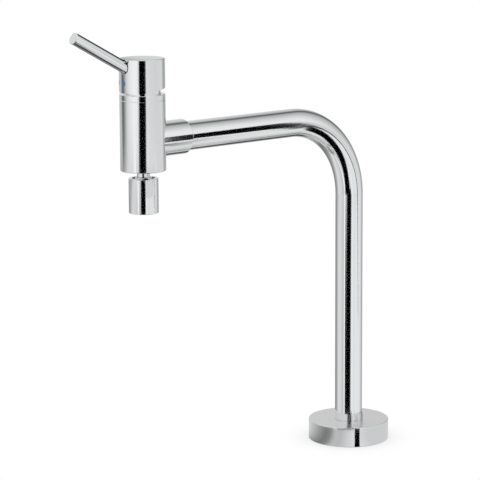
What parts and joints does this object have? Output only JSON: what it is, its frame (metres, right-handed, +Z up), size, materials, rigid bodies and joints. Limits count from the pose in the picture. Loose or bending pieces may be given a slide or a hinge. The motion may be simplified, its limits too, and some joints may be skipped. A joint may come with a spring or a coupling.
{
  "type": "single lever basin mixer tap",
  "caption": "Basin mixer tap: a bent round spout swivels on a round base and carries an upright lever mixer and a ball jointed aerator at its end.",
  "frame": {"origin": "on the riser's axis, in the plane of the deck under the base flange", "axes": "+Z up along the riser; -Y along the spout's arm, away from the riser; +X to the cold side"},
  "size_m": [0.0828, 0.3872, 0.445],
  "materials": {
    "polished_chrome": "polished",
    "brass": "turned",
    "stainless_steel": "satin",
    "black_rubber": "matte",
    "white_acetal": "satin",
    "black_plastic": "satin",
    "grey_plastic": "satin",
    "white_ceramic": "polished",
    "hose_plastic": "satin",
    "blue_mark": "gloss",
    "red_mark": "gloss"
  },
  "bodies": {
    "base": {"base_flange": "polished_chrome", "foot_body": "brass", "base_gasket": "black_rubber", "thrust_washer": "white_acetal", "guide_bush": "white_acetal", "foot_o_ring": "black_rubber", "retaining_washer": "stainless_steel", "stop_screw": "stainless_steel"},
    "spout": {"spout_tube": "polished_chrome", "bearing_ring": "brass", "foot_ring": "polished_chrome", "retaining_clip": "stainless_steel", "hose_spacer": "white_acetal", "hot_hose": "hose_plastic", "hot_inlet": "brass", "hot_hose_end": "brass", "cold_hose": "hose_plastic", "cold_inlet": "brass", "cold_hose_end": "brass", "arm_collar": "polished_chrome", "collar_screw": "stainless_steel", "mixer_body": "polished_chrome", "cartridge_base": "white_acetal", "fixed_disc": "white_ceramic", "hot_port_seal": "black_rubber", "cold_port_seal": "black_rubber", "mixed_port_seal": "black_rubber", "cartridge_shell": "white_acetal", "cartridge_nut": "brass", "trim_ring": "polished_chrome", "throat": "polished_chrome", "ball_stud": "polished_chrome", "stud_o_ring": "black_rubber"},
    "spindle": {"spindle": "white_acetal", "stem_pin": "stainless_steel"},
    "slider": {"moving_disc": "white_ceramic", "disc_carrier": "white_acetal"},
    "handle": {"lever_stem": "stainless_steel", "handle_cap": "polished_chrome", "cold_mark": "blue_mark", "hot_mark": "red_mark", "lever_rod": "polished_chrome", "cap_screw": "stainless_steel"},
    "liner": {"ball_liner": "white_acetal"},
    "aerator": {"aerator_housing": "polished_chrome", "ball_seat": "black_plastic", "ball_seal": "black_rubber", "seal_support": "brass", "aerator_washer": "black_rubber", "aerator_insert": "grey_plastic", "outlet_mesh": "grey_plastic", "outlet_ring": "brass"}
  },
  "joints": [
    {"name": "spout_swivel", "type": "hinge", "parent": "base", "child": "spout", "pos_m": [0, 0, 0.01], "axis": [0, 0, 1], "range_deg": [-75, 75]},
    {"name": "handle_turn", "type": "hinge", "parent": "spout", "child": "spindle", "pos_m": [0, -0.265, 0.37595], "axis": [0, 0, 1], "range_deg": [-45, 45]},
    {"name": "lever_lift", "type": "hinge", "parent": "spindle", "child": "handle", "pos_m": [0, -0.265, 0.37595], "axis": [-1, 0, 0], "range_deg": [0, 16]},
    {"name": "disc_slide", "type": "slide", "parent": "spindle", "child": "slider", "axis": [0, -1, 0], "range_m": [0, 0.00245]},
    {"name": "aerator_turn", "type": "hinge", "parent": "spout", "child": "liner", "pos_m": [0, -0.265, 0.2975], "axis": [0, 0, 1], "continuous": true},
    {"name": "aerator_tilt", "type": "hinge", "parent": "liner", "child": "aerator", "pos_m": [0, -0.265, 0.2975], "axis": [1, 0, 0], "range_deg": [-15, 15]}
  ],
  "couplings": [
    {"joint": "disc_slide", "follows": "lever_lift", "m_per_rad": 0.0086}
  ]
}
